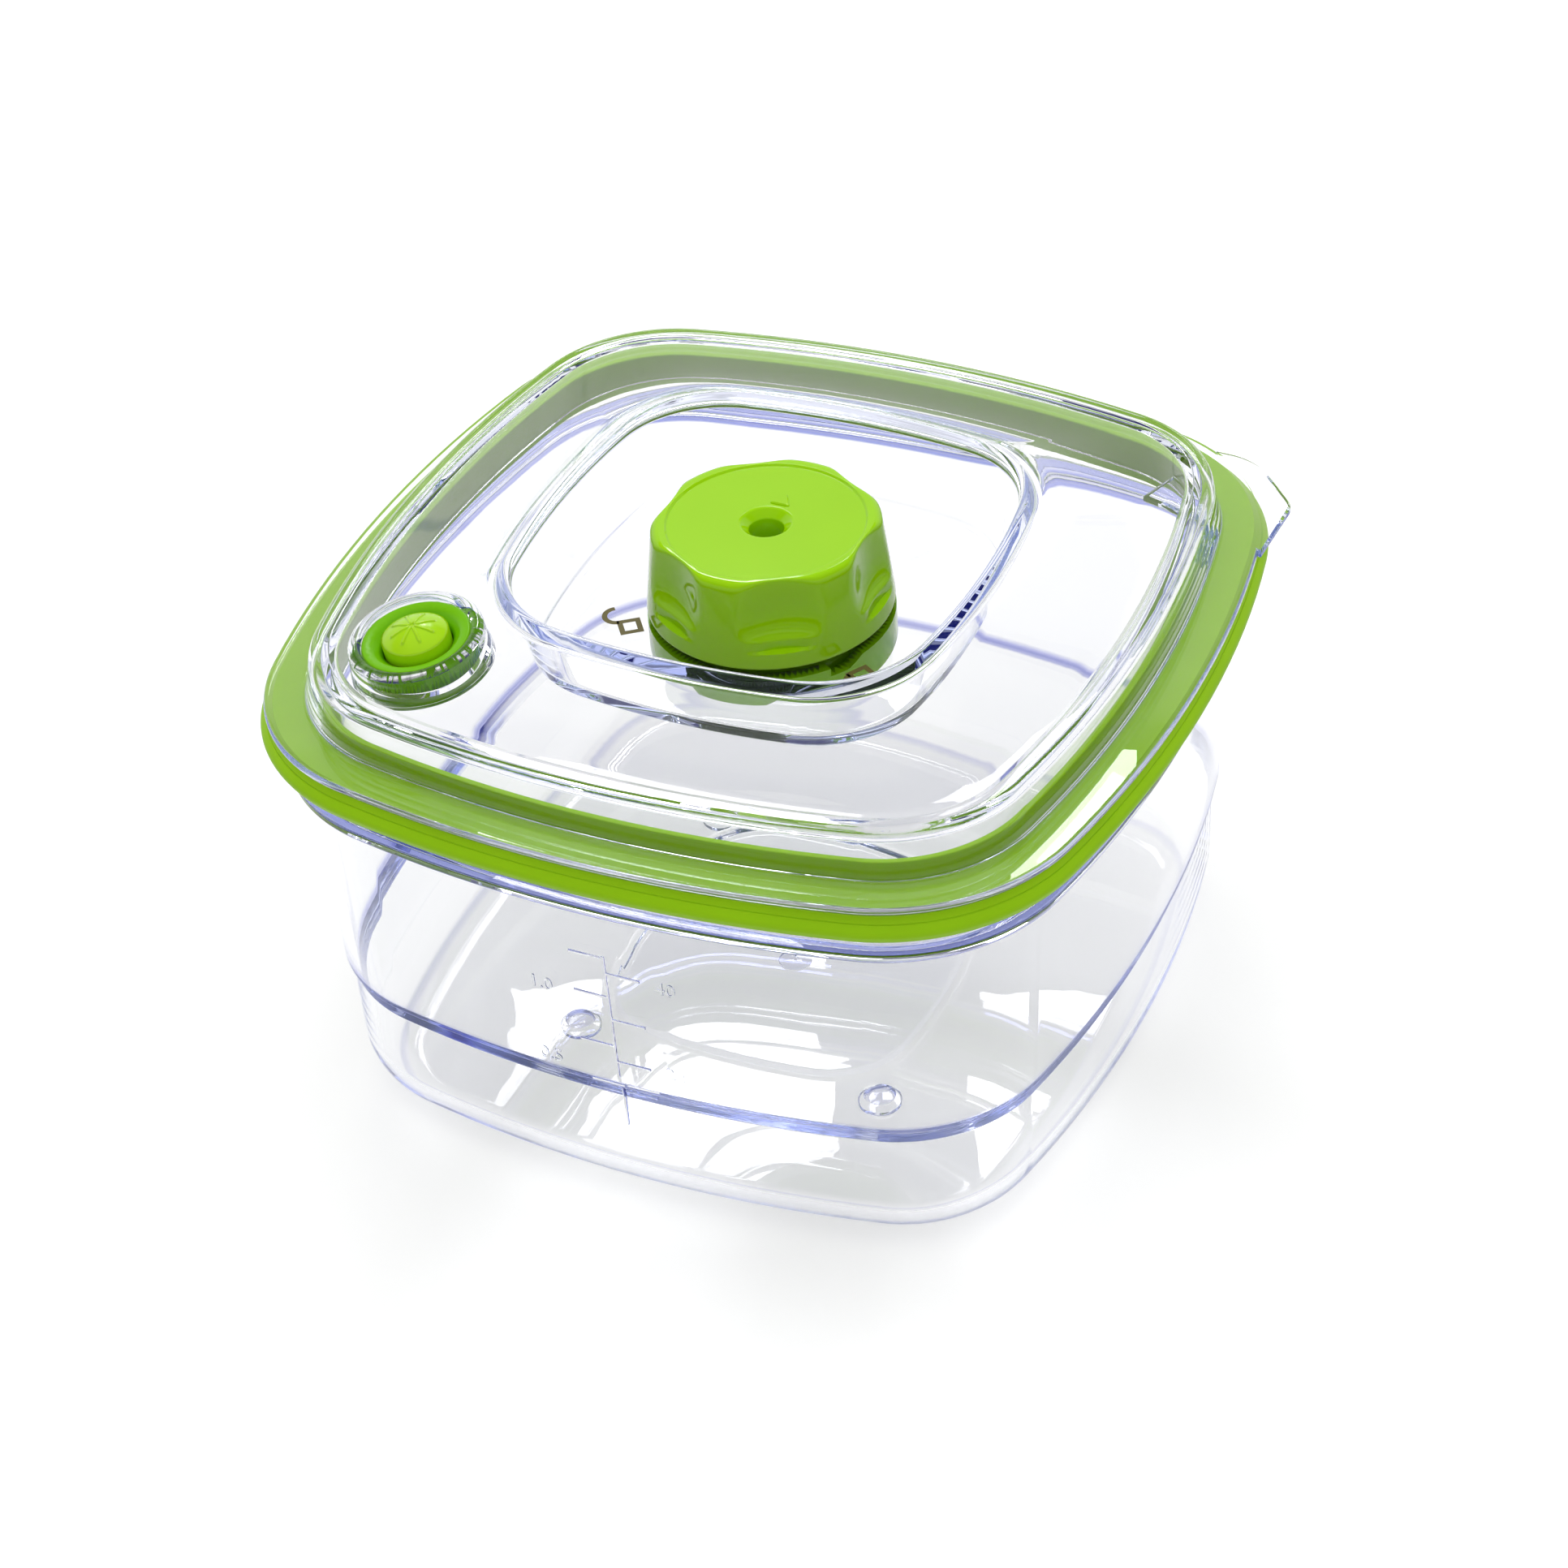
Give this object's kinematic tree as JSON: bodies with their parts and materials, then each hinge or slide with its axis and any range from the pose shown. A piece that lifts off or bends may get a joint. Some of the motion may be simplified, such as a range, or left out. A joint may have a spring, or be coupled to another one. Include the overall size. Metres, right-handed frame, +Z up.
{
  "type": "vacuum seal canister",
  "caption": "Square clear food canister with a domed lid, a green gasket, a turn-to-lock valve knob in a well and a vacuum indicator button.",
  "frame": {"origin": "on the table, under the middle of the container", "axes": "+Z up; -Y is the front wall with the scale marks; the lid's pull tab is at +X +Y and the indicator at -X -Y"},
  "size_m": [0.1742, 0.1742, 0.1099],
  "materials": {
    "container_clear": "clear moulded plastic",
    "lid_clear": "clear moulded plastic",
    "gasket_silicone": "satin silicone",
    "knob_plastic": "gloss",
    "housing_plastic": "gloss",
    "stem_plastic": "matte",
    "seal_silicone": "matte silicone",
    "ring_rubber": "matte",
    "spring_steel": "satin"
  },
  "bodies": {
    "container": {"container": "container_clear"},
    "lid": {"lid_shell": "lid_clear", "lid_gasket": "gasket_silicone", "valve_housing": "housing_plastic", "housing_gasket": "seal_silicone", "clamp_nut": "housing_plastic", "filter_cap": "housing_plastic", "spring_washer": "spring_steel", "stem_spring": "spring_steel", "indicator_seal": "gasket_silicone", "indicator_spring": "spring_steel", "indicator_retainer": "housing_plastic"},
    "knob": {"knob": "knob_plastic", "nozzle_seal": "seal_silicone"},
    "valve_stem": {"valve_stem": "stem_plastic", "stem_o_ring": "ring_rubber", "valve_disc": "seal_silicone", "retaining_clip": "spring_steel", "check_valve": "seal_silicone"},
    "indicator_button": {"indicator_button": "knob_plastic"}
  },
  "joints": [
    {"name": "lid_lift", "type": "slide", "parent": "container", "child": "lid", "axis": [0, 0, 1], "range_m": [0, 0.04]},
    {"name": "knob_turn", "type": "hinge", "parent": "lid", "child": "knob", "pos_m": [0, 0, 0.097], "axis": [0, 0, 1], "range_deg": [-120, 120]},
    {"name": "stem_lift", "type": "slide", "parent": "lid", "child": "valve_stem", "axis": [0, 0, 1], "range_m": [-0.001, 0.001], "deforming": ["stem_spring"]},
    {"name": "indicator_press", "type": "slide", "parent": "lid", "child": "indicator_button", "axis": [0.1009, 0.1009, -0.9898], "range_m": [0, 0.0025], "stiffness_N_per_m": 300, "deforming": ["indicator_spring"]}
  ],
  "couplings": [
    {"joint": "stem_lift", "follows": "knob_turn", "m_per_rad": -0.00047269}
  ]
}
